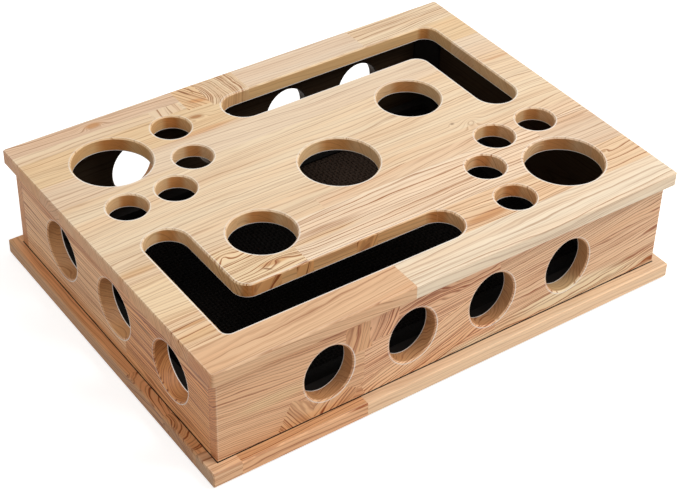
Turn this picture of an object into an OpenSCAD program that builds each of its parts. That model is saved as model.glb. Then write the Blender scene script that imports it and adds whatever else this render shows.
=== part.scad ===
// Cat scratcher puzzle box in solid wood. A cover, made of a slotted and drilled top panel on
// four drilled walls, lifts straight off a base board that carries the scratch mat.
// Millimetres, +Z up, +X along the front wall, origin on the floor under the middle of the base.

/* [Top panel] */
// Length of the top panel, left to right
top_l = 400; // [380:1:480]
// Width of the top panel, front to back
top_w = 296; // [290:1:356]
// Thickness of the top panel
top_t = 11.5; // [11:0.5:18]
// How far the top panel stands out past the walls, all round
top_overhang = 6; // [3:0.5:10]
// Flat cut along every visible arris of the panel and the base board
board_arris = 0.8; // [0.4:0.1:1.5]
// Radius of the panel's four corners
panel_corner_r = 2.5; // [2:0.5:6]

/* [Paw openings] */
// Radius of the two pad openings, which are also the size of the middle one
pad_r = 30; // [24:0.5:32]
// Distance from a pad's centre to the near end of the panel
pad_from_end = 60.5; // [56:0.5:66]
// Distance from a pad's centre to the near long side of the panel
pad_from_side = 57.5; // [54:0.5:62]
// Radius of the toe openings
toe_r = 15; // [10:0.5:16]
// Distance from the pad's centre to the first toe, the one beside the slot's short leg
toe_reach = 57.2; // [55:0.1:60]
// How much further out each next toe lies
toe_reach_step = 1.05; // [0:0.05:1.5]
// Direction of the first toe from the pad, counterclockwise from +X
toe_first_angle = -107.8; // [-110:0.1:-104]
// Angle from one toe to the next
toe_angle_step = 40.7; // [39:0.1:42]

/* [Slots and corner openings] */
// Width of the L slots' legs, which end in full rounds
slot_w = 33.5; // [28:0.5:38]
// Distance from a slot's outer edge to the near end of the panel
slot_from_end = 28.3; // [26:0.1:34]
// Distance from a slot's outer edge to the near long side of the panel
slot_from_side = 29; // [26:0.5:34]
// Radius of the front slot's outer corner
front_slot_outer_r = 5.5; // [4:0.5:15]
// Radius of the back slot's outer corner
back_slot_outer_r = 11; // [4:0.5:15]
// Radius of a slot's inner corner
slot_inner_r = 12; // [6:0.5:18]
// Wood left between the front slot's long leg and the toe that it points at
front_long_leg_web = 33.3; // [24:0.1:60]
// Wood left between the back slot's long leg and the toe that it points at
back_long_leg_web = 30.9; // [24:0.1:60]
// Wood left between the front slot's short leg and the toe beside it
front_short_leg_web = 20.2; // [12:0.1:30]
// Wood left between the back slot's short leg and the toe beside it
back_short_leg_web = 15.6; // [12:0.1:30]
// Radius of the opening inside each slot's corner
corner_hole_r = 25; // [18:0.5:27]
// Distance from that opening's centre to both legs of the slot
corner_hole_in = 45.2; // [42:0.1:47]
// Flat cut round the outer mouths of the openings
mouth_arris = 1; // [0.5:0.1:2]
// Flat cut round the openings' mouths on the inside of the box
inner_arris = 0.5; // [0.2:0.1:1]

/* [Walls] */
// Height of the walls, from the base board to the top panel
wall_h = 73; // [60:1:100]
// Thickness of the walls
wall_t = 12; // [10:0.5:16]
// Wood that the front and back walls keep over the end walls' ends, outside the rebate
rebate_cover = 8.5; // [6:0.5:9.5]
// Width of the oval openings in the front and back walls
side_hole_w = 39.5; // [30:0.5:48]
// Height of the oval openings in the front and back walls
side_hole_h = 46; // [36:0.5:48]
// Spacing of the four openings in the front and back walls
side_hole_pitch = 70; // [60:1:80]
// How far the front row of openings lies below the middle of its wall
front_row_drop = 1.5; // [0:0.5:3]
// How far the back row of openings lies above the middle of its wall
back_row_rise = 2.5; // [0:0.5:3]
// How far the back row of openings lies to the right of the middle of its wall
back_row_shift = 4.5; // [0:0.5:6]
// How much further to the right the back row's second opening from the left lies
back_second_shift = 5; // [0:0.5:6.5]
// Radius of the openings in the left wall
end_hole_r = 22.5; // [16:0.5:25]
// Spacing of the three openings in the left wall
end_hole_pitch = 78; // [60:1:85]
// How far the left wall's row of openings stands towards the front of its middle
end_row_forward = 5; // [0:0.5:6]
// Flat cut along the walls' own arrises, which shows as a fine line at the base and corners
wall_arris = 0.5; // [0.2:0.1:1]

/* [Base board and mat] */
// How far the base board stands out past the walls at the two ends
base_margin_x = 8.5; // [5:0.5:20]
// How far the base board stands out past the walls at the front and back
base_margin_y = 9; // [5:0.5:20]
// Thickness of the base board
base_t = 12; // [10:0.5:15]
// Thickness of the scratch mat
mat_t = 4.5; // [3:0.5:8]
// Gap round the mat, inside the cleats
mat_gap = 1; // [0.5:0.5:3]

/* [Cleats] */
// Width of the locating cleats that the cover drops over
cleat_w = 10; // [8:0.5:16]
// Height of the locating cleats
cleat_h = 8; // [7.5:0.5:12]
// Gap between the cleats and the inside of the walls
cleat_gap = 0.8; // [0.4:0.1:2]
// Slope cut on the cleats' outer edge, which leads the cover on
cleat_lead = 2; // [1:0.5:3]

/* [Joinery] */
// Leg of the triangular glue blocks in the cover's corners
block_leg = 16; // [12:1:22]
// Height of the glue blocks
block_h = 45; // [20:1:45]
// Flat on the glue blocks' two thin edges
block_nose = 2; // [1:0.5:4]
// Radius of the blind dowels between the walls and the top panel
dowel_r = 3; // [2:0.5:4]
// Length of the dowels
dowel_l = 24; // [16:1:30]
// Length of dowel that stands in the top panel
dowel_in_panel = 6.5; // [5:0.5:8]
// Glue space past each end of a dowel
dowel_end_gap = 0.5; // [0.2:0.1:2]
// Glue film round a dowel
dowel_film = 0.05; // [0.02:0.01:0.1]

/* [Screws] */
// Radius of the countersunk screws that hold the cleats from below
screw_r = 1.5; // [1.25:0.25:2]
// Radius of the screw heads
screw_head_r = 3; // [2.5:0.25:4]
// Length of the screws, head included
screw_l = 17.5; // [15:0.5:19]
// How far the heads lie inside the underside
screw_sink = 0.5; // [0.2:0.1:1]
// Clearance round a screw's shank in the base board
screw_play = 0.25; // [0.1:0.05:0.5]
// Clearance round a screw in its pilot hole in the cleat
pilot_play = 0.05; // [0.02:0.01:0.1]
// Distance from the end of a cleat to its first screw
screw_from_end = 22; // [15:1:40]

/* [Feet] */
// Radius of the rubber feet
foot_r = 9; // [6:0.5:12]
// Thickness of the rubber feet
foot_t = 3; // [2:0.5:5]
// How far the feet stand out below the base board
foot_proud = 1.5; // [1:0.5:3]
// Distance from a foot's centre to the base board's edges
foot_from_edge = 26; // [20:1:40]
// Clearance round a foot in its recess
foot_play = 0.2; // [0.1:0.1:0.5]

/* [Hidden] */
$fn = 96;

past = 1;                                  // how far a cutter runs past a face
box_l = top_l - 2 * top_overhang;          // outside of the walls
box_w = top_w - 2 * top_overhang;
room_l = box_l - 2 * wall_t;               // inside of the walls
room_w = box_w - 2 * wall_t;
base_l = box_l + 2 * base_margin_x;
base_w = box_w + 2 * base_margin_y;
base_z = foot_proud;
wall_z = base_z + base_t;
panel_z = wall_z + wall_h;
rebate_d = wall_t - rebate_cover;
end_wall_l = box_w - 2 * rebate_cover;
frame_l = room_l - 2 * cleat_gap;          // outside of the cleats
frame_w = room_w - 2 * cleat_gap;
end_cleat_l = frame_w - 2 * cleat_w;
mat_l = frame_l - 2 * cleat_w - 2 * mat_gap;
mat_w = end_cleat_l - 2 * mat_gap;

TOES = [0:3];
pad_at = [-top_l / 2 + pad_from_end, top_w / 2 - pad_from_side];
function polar(r, a) = r * [cos(a), sin(a)];
function toe_at(k) =
    pad_at + polar(toe_reach + k * toe_reach_step, toe_first_angle + k * toe_angle_step);

// The front slot's outer corner, and the reach of a slot's legs from there
slot_at = [-top_l / 2 + slot_from_end, -top_w / 2 + slot_from_side];
function long_leg(web) = -toe_at(3)[0] - toe_r - web - slot_at[0];
function short_leg(web) = toe_at(0)[1] - toe_r - web - slot_at[1];
corner_hole_at = slot_at + (slot_w + corner_hole_in) * [1, 1];

function row(n, pitch) = [for (i = [0:n - 1]) (i - (n - 1) / 2) * pitch];
function spread(n, length) = row(n, length / (n - 1));
side_hole_xs = row(4, side_hole_pitch);
back_hole_xs = [for (i = [0:3])
    side_hole_xs[i] + back_row_shift + (i == 1 ? back_second_shift : 0)];
end_hole_ys = [for (y = row(3, end_hole_pitch)) y - end_row_forward];
// The dowels stand between the openings and past the last ones
side_dowel_xs = row(3, 2 * side_hole_pitch);
end_dowel_ys = [for (y = row(2, end_hole_pitch)) y - end_row_forward];
dowel_in_wall = dowel_l - dowel_in_panel;
dowel_rows = [
    for (x = side_dowel_xs, s = [-1, 1]) [x, s * (box_w - wall_t) / 2],
    for (y = end_dowel_ys, s = [-1, 1]) [s * (box_l - wall_t) / 2, y]];
side_screw_xs = spread(4, frame_l - 2 * screw_from_end);
end_screw_ys = spread(3, end_cleat_l - 2 * screw_from_end);
screw_rows = [
    for (x = side_screw_xs, s = [-1, 1]) [x, s * (frame_w - cleat_w) / 2],
    for (y = end_screw_ys, s = [-1, 1]) [s * (frame_l - cleat_w) / 2, y]];
foot_x = base_l / 2 - foot_from_edge;
foot_y = base_w / 2 - foot_from_edge;

TOP_WOOD = [0.90, 0.80, 0.66];
WALL_WOOD = [0.80, 0.64, 0.49];
BASE_WOOD = [0.80, 0.60, 0.44];
DARK_WOOD = [0.16, 0.11, 0.08];
BEECH = [0.85, 0.70, 0.52];
MAT_CHARCOAL = [0.13, 0.12, 0.11];
ZINC = [0.70, 0.70, 0.72];
RUBBER = [0.12, 0.12, 0.12];

// A rectangle with its corners cut off
module clipped(a, b, c) {
    polygon([[c, 0], [a - c, 0], [a, c], [a, b - c], [a - c, b], [c, b], [0, b - c], [0, c]]);
}

// A board with a flat on all of its twelve arrises, centred in plan on the origin
module board(l, w, t, c) {
    translate([-l / 2, -w / 2, 0]) intersection() {
        linear_extrude(t) clipped(l, w, c);
        rotate([90, 0, 90]) linear_extrude(l) clipped(w, t, c);
        translate([0, w, 0]) rotate([90, 0, 0]) linear_extrude(w) clipped(l, t, c);
    }
}

// A board like that with corners of radius r in plan, its arrises cut all the way round them
module round_cornered_board(l, w, t, c, r) {
    translate([r - l / 2, -w / 2, 0]) rotate([90, 0, 90])
        linear_extrude(l - 2 * r) clipped(w, t, c);
    translate([-l / 2, w / 2 - r, 0]) rotate([90, 0, 0])
        linear_extrude(w - 2 * r) clipped(l, t, c);
    for (sx = [-1, 1], sy = [-1, 1]) translate([sx * (l / 2 - r), sy * (w / 2 - r), 0])
        rotate_extrude() polygon([[0, 0], [r - c, 0], [r, c], [r, t - c], [r - c, t], [0, t]]);
}

// Cutter for a round opening through a board, with both of its mouths eased
module round_opening(r, t) {
    translate([0, 0, -past]) cylinder(h = t + 2 * past, r = r);
    translate([0, 0, t - mouth_arris])
        cylinder(h = mouth_arris + past, r1 = r, r2 = r + mouth_arris + past);
    translate([0, 0, -past])
        cylinder(h = inner_arris + past, r1 = r + inner_arris + past, r2 = r);
}

// Cutter for an oval opening of width w and height h through a board of thickness t
module oval_opening(w, h, t) {
    scale([1, h / w, 1]) round_opening(w / 2, t);
}

// Outline of an L slot, its outer corner at the origin and its legs along +X and +Y
module slot_outline(a, b, outer_r) {
    h = slot_w / 2;
    translate([outer_r, 0]) square([a - h - outer_r, slot_w]);
    translate([0, outer_r]) square([slot_w, b - h - outer_r]);
    translate([a - h, h]) circle(h);
    translate([h, b - h]) circle(h);
    translate(outer_r * [1, 1]) circle(outer_r);
    translate([slot_w, slot_w]) difference() {
        square(slot_inner_r);
        translate(slot_inner_r * [1, 1]) circle(slot_inner_r);
    }
}

// The wedge that eases a straight side of the slot: it widens upwards from the depth c
module leg_mouth(length, c) {
    rise = c + past;
    rotate([90, 0, 90]) linear_extrude(length)
        polygon([[0, 0], [slot_w, 0], [slot_w + rise, rise], [-rise, rise]]);
}

// Cutter that eases a slot's mouth, from the depth c at z = 0 to past the face
module slot_mouth(a, b, outer_r, c) {
    h = slot_w / 2;
    rise = c + past;
    translate([outer_r, 0, 0]) leg_mouth(a - h - outer_r, c);
    mirror([1, -1, 0]) translate([outer_r, 0, 0]) leg_mouth(b - h - outer_r, c);
    translate([a - h, h, 0]) cylinder(h = rise, r1 = h, r2 = h + rise);
    translate([h, b - h, 0]) cylinder(h = rise, r1 = h, r2 = h + rise);
    translate(outer_r * [1, 1]) cylinder(h = rise, r1 = outer_r, r2 = outer_r + rise);
    translate([slot_w, slot_w, 0]) difference() {
        cube([slot_inner_r, slot_inner_r, rise]);
        translate(slot_inner_r * [1, 1])
            cylinder(h = rise, r1 = slot_inner_r, r2 = slot_inner_r - rise);
    }
}

// Cutter for a whole L slot through the top panel, with both of its mouths eased
module slot_opening(a, b, outer_r) {
    translate([0, 0, -past]) linear_extrude(top_t + 2 * past) slot_outline(a, b, outer_r);
    translate([0, 0, top_t - mouth_arris]) slot_mouth(a, b, outer_r, mouth_arris);
    translate([0, 0, inner_arris]) mirror([0, 0, 1]) slot_mouth(a, b, outer_r, inner_arris);
}

// Routed and drilled panel: the pattern is nearly the same when it is turned half way round
module top_panel() {
    color(TOP_WOOD) translate([0, 0, panel_z]) difference() {
        round_cornered_board(top_l, top_w, top_t, board_arris, panel_corner_r);
        round_opening(pad_r, top_t);
        for (turn = [0, 180]) rotate(turn) {
            translate(pad_at) round_opening(pad_r, top_t);
            for (k = TOES) translate(toe_at(k)) round_opening(toe_r, top_t);
            translate(corner_hole_at) round_opening(corner_hole_r, top_t);
        }
        translate(slot_at) slot_opening(long_leg(front_long_leg_web),
            short_leg(front_short_leg_web), front_slot_outer_r);
        rotate(180) translate(slot_at) slot_opening(long_leg(back_long_leg_web),
            short_leg(back_short_leg_web), back_slot_outer_r);
        for (at = dowel_rows) translate([at[0], at[1], -past])
            cylinder(h = past + dowel_in_panel + dowel_end_gap, r = dowel_r + dowel_film);
    }
}

module dowel_socket() {
    translate([0, 0, wall_h - dowel_in_wall - dowel_end_gap])
        cylinder(h = dowel_in_wall + dowel_end_gap + past, r = dowel_r + dowel_film);
}

// A front or back wall, seen from its outside: rebated at both ends to cover the end walls, and
// with openings at xs along its length, at rise above the middle of its height
module side_wall(xs, rise) {
    difference() {
        board(box_l, wall_t, wall_h, wall_arris);
        for (s = [-1, 1]) translate([s * (room_l / 2 + wall_t), wall_t / 2, wall_h / 2])
            cube([2 * wall_t, 2 * rebate_d, wall_h + 2 * past], center = true);
        for (x = xs) translate([x, wall_t / 2, wall_h / 2 + rise])
            rotate([90, 0, 0]) oval_opening(side_hole_w, side_hole_h, wall_t);
        for (x = side_dowel_xs) translate([x, 0, 0]) dowel_socket();
    }
}

module front_wall() {
    color(WALL_WOOD) translate([0, -(box_w - wall_t) / 2, wall_z])
        side_wall(side_hole_xs, -front_row_drop);
}

module back_wall() {
    color(WALL_WOOD) translate([0, (box_w - wall_t) / 2, wall_z]) rotate(180)
        side_wall(-back_hole_xs, back_row_rise);
}

module end_board() {
    difference() {
        board(wall_t, end_wall_l, wall_h, wall_arris);
        for (y = end_dowel_ys) translate([0, y, 0]) dowel_socket();
    }
}

module left_wall() {
    color(WALL_WOOD) translate([-(box_l - wall_t) / 2, 0, wall_z]) difference() {
        end_board();
        for (y = end_hole_ys) translate([wall_t / 2, y, wall_h / 2]) rotate([0, -90, 0])
            round_opening(end_hole_r, wall_t);
    }
}

module right_wall() {
    color(WALL_WOOD) translate([(box_l - wall_t) / 2, 0, wall_z]) end_board();
}

// Triangular glue block, its square corner in the cover's corner, up against the top panel
module corner_block(sx, sy) {
    color(DARK_WOOD) translate([sx * room_l / 2, sy * room_w / 2, panel_z - block_h])
        scale([-sx, -sy, 1]) linear_extrude(block_h)
            polygon([[0, 0], [block_leg, 0], [block_leg, block_nose],
                [block_nose, block_leg], [0, block_leg]]);
}

module block_front_left() { corner_block(-1, -1); }
module block_front_right() { corner_block(1, -1); }
module block_back_left() { corner_block(-1, 1); }
module block_back_right() { corner_block(1, 1); }

// Blind dowels with eased ends, half way through the walls' thickness
module panel_dowels() {
    ease = dowel_r / 4;
    color(BEECH) for (at = dowel_rows) translate([at[0], at[1], panel_z - dowel_in_wall])
        rotate_extrude() polygon([[0, 0], [dowel_r - ease, 0], [dowel_r, ease],
            [dowel_r, dowel_l - ease], [dowel_r - ease, dowel_l], [0, dowel_l]]);
}

// Countersunk hole for one screw, from the underside through to the cleat
module screw_way() {
    r = screw_r + screw_play;
    head = screw_head_r + screw_play;
    translate([0, 0, -past]) cylinder(h = base_t + 2 * past, r = r);
    translate([0, 0, -past]) cylinder(h = past + screw_sink, r = head);
    translate([0, 0, screw_sink]) cylinder(h = head - r, r1 = head, r2 = r);
}

module base_board() {
    color(BASE_WOOD) translate([0, 0, base_z]) difference() {
        board(base_l, base_w, base_t, board_arris);
        for (at = screw_rows) translate(at) screw_way();
        for (sx = [-1, 1], sy = [-1, 1]) translate([sx * foot_x, sy * foot_y, -past])
            cylinder(h = past + foot_t - foot_proud, r = foot_r + foot_play);
    }
}

// Flat woven mat that drops in between the cleats
module scratch_mat() {
    color(MAT_CHARCOAL) translate([0, 0, wall_z]) board(mat_l, mat_w, mat_t, wall_arris);
}

// A locating cleat along +X, its outer side at y = 0 and sloped at the top to lead the cover on
module cleat(length, screws) {
    difference() {
        translate([-length / 2, 0, 0]) rotate([90, 0, 90]) linear_extrude(length)
            polygon([[0, 0], [cleat_w, 0], [cleat_w, cleat_h], [cleat_lead, cleat_h],
                [0, cleat_h - cleat_lead]]);
        for (x = screws) translate([x, cleat_w / 2, -past])
            cylinder(h = past + screw_sink + screw_l - base_t, r = screw_r + pilot_play);
    }
}

module front_cleat() {
    color(DARK_WOOD) translate([0, -frame_w / 2, wall_z]) cleat(frame_l, side_screw_xs);
}

module back_cleat() {
    color(DARK_WOOD) translate([0, frame_w / 2, wall_z]) rotate(180) cleat(frame_l, side_screw_xs);
}

module left_cleat() {
    color(DARK_WOOD) translate([-frame_l / 2, 0, wall_z]) rotate(-90)
        cleat(end_cleat_l, end_screw_ys);
}

module right_cleat() {
    color(DARK_WOOD) translate([frame_l / 2, 0, wall_z]) rotate(90)
        cleat(end_cleat_l, end_screw_ys);
}

// A countersunk wood screw, point up, with a cross recess in its head
module screw() {
    head_h = screw_head_r - screw_r;
    point_h = 2 * screw_r;
    recess = [0.4 * screw_r, 1.2 * screw_head_r, 0.8 * head_h];
    difference() {
        rotate_extrude() polygon([[0, 0], [screw_head_r, 0], [screw_r, head_h],
            [screw_r, screw_l - point_h], [0, screw_l]]);
        for (turn = [0, 90]) rotate(turn) cube(recess, center = true);
    }
}

module cleat_screws() {
    color(ZINC) for (at = screw_rows) translate([at[0], at[1], base_z + screw_sink]) screw();
}

// Rubber foot, pressed into its recess under the base board
module foot(sx, sy) {
    ease = foot_proud / 2;
    color(RUBBER) translate([sx * foot_x, sy * foot_y, 0]) rotate_extrude()
        polygon([[0, 0], [foot_r - ease, 0], [foot_r, ease], [foot_r, foot_t], [0, foot_t]]);
}

module foot_front_left() { foot(-1, -1); }
module foot_front_right() { foot(1, -1); }
module foot_back_left() { foot(-1, 1); }
module foot_back_right() { foot(1, 1); }

top_panel();
front_wall();
back_wall();
left_wall();
right_wall();
block_front_left();
block_front_right();
block_back_left();
block_back_right();
panel_dowels();
base_board();
scratch_mat();
front_cleat();
back_cleat();
left_cleat();
right_cleat();
cleat_screws();
foot_front_left();
foot_front_right();
foot_back_left();
foot_back_right();
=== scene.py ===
"""Wooden puzzle box for cats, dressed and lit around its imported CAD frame."""

import logging
import math
import random
from dataclasses import dataclass
from enum import Enum

import bmesh
import bpy
from mathutils import Euler, Matrix, Vector


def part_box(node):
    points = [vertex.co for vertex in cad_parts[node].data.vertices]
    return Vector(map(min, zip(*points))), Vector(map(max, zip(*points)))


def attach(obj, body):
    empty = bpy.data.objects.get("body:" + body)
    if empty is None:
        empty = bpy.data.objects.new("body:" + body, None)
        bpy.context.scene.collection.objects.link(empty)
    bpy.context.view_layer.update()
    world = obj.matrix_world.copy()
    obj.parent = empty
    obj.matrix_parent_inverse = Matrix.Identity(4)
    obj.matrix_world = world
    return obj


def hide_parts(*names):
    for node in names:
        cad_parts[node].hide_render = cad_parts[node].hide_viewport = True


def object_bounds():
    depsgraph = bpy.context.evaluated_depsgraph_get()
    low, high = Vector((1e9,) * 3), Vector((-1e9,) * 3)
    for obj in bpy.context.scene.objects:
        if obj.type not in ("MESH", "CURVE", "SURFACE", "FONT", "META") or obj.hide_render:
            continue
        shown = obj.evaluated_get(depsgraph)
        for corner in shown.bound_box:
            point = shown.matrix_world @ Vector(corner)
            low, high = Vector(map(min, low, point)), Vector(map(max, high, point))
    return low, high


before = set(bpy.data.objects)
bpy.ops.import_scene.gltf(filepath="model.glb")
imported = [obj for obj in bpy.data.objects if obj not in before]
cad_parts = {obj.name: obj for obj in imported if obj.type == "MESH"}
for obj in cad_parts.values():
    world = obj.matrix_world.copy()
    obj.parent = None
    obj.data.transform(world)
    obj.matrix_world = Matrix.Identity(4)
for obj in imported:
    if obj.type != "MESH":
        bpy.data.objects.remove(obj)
CAD_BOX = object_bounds()

LOG = logging.getLogger("puzzle_box")
MM = 0.001
PHOTO_WIDTH = 679
SENSOR_WIDTH = 36.0
# Half the depth of a zone that runs right through a board, how deep a knot or streak goes into
# one, and how far one step of a stave's seed is along its log, all in mm.
DEEP = 500.0
MARK_DEPTH = 60.0
SEED_STEP = 1000.0
CORNERS = ("front_left", "front_right", "back_left", "back_right")

Socket = bpy.types.NodeSocket
Tree = bpy.types.NodeTree
Point = tuple[float, float, float]


class Face(Enum):
    """How a board lies: its grain direction, the way across its face and the way out of it."""

    TOP = ((1, 0, 0), (0, 1, 0), (0, 0, 1))
    FRONT = ((1, 0, 0), (0, 0, 1), (0, -1, 0))
    BACK = ((-1, 0, 0), (0, 0, 1), (0, 1, 0))
    LEFT = ((0, -1, 0), (0, 0, 1), (-1, 0, 0))
    RIGHT = ((0, 1, 0), (0, 0, 1), (1, 0, 0))


class Yarn(Enum):
    """The mat's two sets of yarns, by the axis that each runs along."""

    WEFT = 0
    WARP = 1


def linear(colour: str) -> tuple[float, float, float, float]:
    """Turns an sRGB hex colour into the linear colour that a shader takes.

    Args:
        colour: six hex digits, such as "e8c9a0".

    Returns:
        Red, green, blue and an alpha of 1.
    """
    parts = [int(colour[i : i + 2], 16) / 255 for i in (0, 2, 4)]
    red, green, blue = (c / 12.92 if c <= 0.04045 else ((c + 0.055) / 1.055) ** 2.4 for c in parts)
    return red, green, blue, 1.0


def add_node(tree: Tree, kind: str, inputs: dict, out: int | str = 0, **settings) -> Socket | None:
    """Adds one shader node with its settings, values and links.

    Args:
        tree: the node tree that takes it.
        kind: the node's type, without Blender's prefix.
        inputs: what goes into each socket, by its name or number: a value, or another node's output.
        out: the output that is wanted, by its name or number.
        **settings: the node's own properties.

    Returns:
        The output socket, or None for a node that has no output.
    """
    node = tree.nodes.new("ShaderNode" + kind)
    for name, value in settings.items():
        setattr(node, name, value)
    for key, value in inputs.items():
        if isinstance(value, Socket):
            tree.links.new(value, node.inputs[key])
        else:
            node.inputs[key].default_value = value
    return node.outputs[out] if node.outputs else None


def calc(tree: Tree, operation: str, *values: Socket | float) -> Socket:
    """Works out a number from one to three others."""
    return add_node(tree, "Math", dict(enumerate(values)), operation=operation)


def dot(tree: Tree, one: Socket, other: Socket | Point) -> Socket:
    """Gives the dot product of two vectors."""
    return add_node(tree, "VectorMath", {0: one, 1: other}, out="Value", operation="DOT_PRODUCT")


def ramp(
    tree: Tree,
    value: Socket,
    start: float = 0.0,
    end: float = 1.0,
    low: Socket | float = 0.0,
    high: Socket | float = 1.0,
    smooth: bool = False,
) -> Socket:
    """Turns a number between start and end into one between low and high.

    Args:
        tree: the node tree.
        value: the number.
        start: where the ramp starts.
        end: where it ends.
        low: what it gives before its start.
        high: what it gives beyond its end.
        smooth: whether it eases in and out.

    Returns:
        The new number.
    """
    sockets = {0: value, 1: start, 2: end, 3: low, 4: high}
    return add_node(tree, "MapRange", sockets, interpolation_type="SMOOTHSTEP" if smooth else "LINEAR")


def mix(
    tree: Tree, share: Socket | float, under: Socket | tuple | str, over: Socket | str, blend: str = "MIX"
) -> Socket:
    """Lays one colour over another.

    Args:
        tree: the node tree.
        share: how much of the upper colour shows.
        under: the lower colour: a socket, a linear colour or six hex digits.
        over: the upper colour: a socket or six hex digits.
        blend: how they are mixed.

    Returns:
        The mixed colour.
    """
    under, over = (linear(c) if isinstance(c, str) else c for c in (under, over))
    return add_node(tree, "Mix", {0: share, 6: under, 7: over}, out=2, data_type="RGBA", blend_type=blend)


def marks(tree: Tree, where: Socket, sizes: Point, detail: float, unit: float = MM) -> Socket:
    """Gives a noise, from 0 to 1, with marks of those sizes in mm along the three axes.

    Args:
        tree: the node tree.
        where: the point.
        sizes: the marks' sizes.
        detail: how many finer layers it has.
        unit: how long a millimetre is in the point's own measure.

    Returns:
        The noise.
    """
    scale = tuple(1 / unit / size for size in sizes)
    drawn = add_node(tree, "Mapping", {"Vector": where, "Scale": scale})
    return add_node(tree, "TexNoise", {"Vector": drawn, "Scale": 1.0, "Detail": detail})


def direction(azimuth: float, elevation: float) -> Vector:
    """Gives the way from the box to a lamp or a camera, by its angles in degrees."""
    turn, rise = math.radians(azimuth), math.radians(elevation)
    return Vector((math.sin(turn) * math.cos(rise), -math.cos(turn) * math.cos(rise), math.sin(rise)))


def put(name: str, data: bpy.types.ID) -> bpy.types.Object:
    """Puts a mesh, lamp or camera into the scene.

    Args:
        name: the object's name.
        data: what it shows.

    Returns:
        The object.
    """
    made = bpy.data.objects.new(name, data)
    bpy.context.scene.collection.objects.link(made)
    return made


def empty_material(name: str) -> bpy.types.Material:
    """Makes a material with an empty node tree.

    Args:
        name: the material's name.

    Returns:
        The new material.
    """
    material = bpy.data.materials.new(name)
    material.use_nodes = True
    material.node_tree.nodes.clear()
    return material


def started(name: str) -> tuple[bpy.types.Material, Tree, Socket]:
    """Starts a material, and gives its node tree and the point in object space with it."""
    made = empty_material(name)
    return made, made.node_tree, add_node(made.node_tree, "TexCoord", {}, out="Object")


def finished(
    made: bpy.types.Material,
    colour: Socket,
    roughness: Socket | float,
    relief: Socket,
    strength: float,
    depth: float,
    rest: dict | None = None,
) -> bpy.types.Material:
    """Ends a material in one shader over a shallow relief.

    Args:
        made: the material.
        colour: its colour.
        roughness: its roughness.
        relief: how high its surface stands, from 0 to 1.
        strength: how much of the relief shows.
        depth: how deep the relief is, in mm.
        rest: what else the shader is given, by its sockets' names.

    Returns:
        The material.
    """
    tree = made.node_tree
    bump = add_node(tree, "Bump", {"Strength": strength, "Distance": depth * MM, "Height": relief})
    sockets = {"Base Color": colour, "Roughness": roughness, "Normal": bump, **(rest or {})}
    shader = add_node(tree, "BsdfPrincipled", sockets)
    add_node(tree, "OutputMaterial", {"Surface": shader})
    return made


def dress(piece: bpy.types.Object, material: bpy.types.Material) -> None:
    """Gives every material slot of a piece the one material.

    Args:
        piece: a CAD node or a new piece.
        material: its finish.
    """
    if not piece.data.materials:
        piece.data.materials.append(material)
    for slot in piece.material_slots:
        slot.material = material
    LOG.info("%s wears %s", piece.name, material.name)


def as_piece(name: str, form: bmesh.types.BMesh, material: bpy.types.Material) -> bpy.types.Object:
    """Turns a finished bmesh, in mm, into a smooth-shaded piece in the scene.

    Args:
        name: the piece's name.
        form: its shape, which is freed.
        material: its finish.

    Returns:
        The piece, with its place in its mesh.
    """
    bmesh.ops.scale(form, vec=(MM, MM, MM), verts=form.verts)
    bmesh.ops.recalc_face_normals(form, faces=form.faces)
    for face in form.faces:
        face.smooth = True
    mesh = bpy.data.meshes.new(name)
    form.to_mesh(mesh)
    form.free()
    piece = put(name, mesh)
    dress(piece, material)
    return piece


@dataclass(frozen=True)
class Stave:
    """One strip of an edge-glued board, as an outline on the board's face, in mm.

    start, end, low and high bound it along and across the grain, and lean turns that outline.
    pith is where its log's middle lies from the stave's own middle, across and out from the
    face. turn is the log's angle to the board, and sink how far it dips into it, in degrees.
    ring is the width of a year's growth, lines how strongly its late wood shows, and seed moves
    the stave along its log, so that no two look alike.
    """

    start: float
    end: float
    low: float
    high: float
    tint: str
    pith: tuple[float, float] = (0.0, -70.0)
    turn: float = 0.0
    sink: float = 0.0
    lean: float = 0.0
    ring: float = 2.8
    lines: float = 0.8
    seed: float = 0.0


@dataclass(frozen=True)
class Knot:
    """A place where the growth rings bend round a branch, with the branch's heart, in mm.

    long and wide are half the swirl's size, lift is how far it pushes the rings, and heart
    is the heart's share of the swirl. A knot with no heart only bends the rings.
    """

    along: float
    across: float
    long: float
    wide: float
    lift: float
    turn: float = 0.0
    heart: float = 0.0
    tint: str = "b5804f"
    strength: float = 0.6


@dataclass(frozen=True)
class Streak:
    """A band of warmer, paler or darker wood along the grain, by half its size in mm."""

    along: float
    across: float
    long: float
    wide: float
    tint: str
    strength: float = 1.0
    turn: float = 0.0


@dataclass(frozen=True)
class Zone:
    """A block of space that some of a board's finish is kept to, by its corners in mm."""

    low: Point
    high: Point

    def middle_and_half(self) -> tuple[tuple, tuple]:
        """Gives the middle and half the size, in metres."""
        low, high = Vector(self.low) * MM, Vector(self.high) * MM
        return tuple((low + high) / 2), tuple((high - low) / 2)


# Zones where the boards are painted near-black as painted shade: the inside of the box, the back wall's
# tunnels, and the seam under the walls, where the shadow line is painted.
INSIDE = Zone((-182.3, -130.3, 13.2), (182.3, 130.3, 86.8))
BACK_TUNNELS = Zone((-60.0, 129.0, 14.5), (182.0, 141.4, 85.5))
SEAM_SHADOW = Zone((-194.5, -142.5, 12.5), (194.5, 142.5, 14.2))


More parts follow.
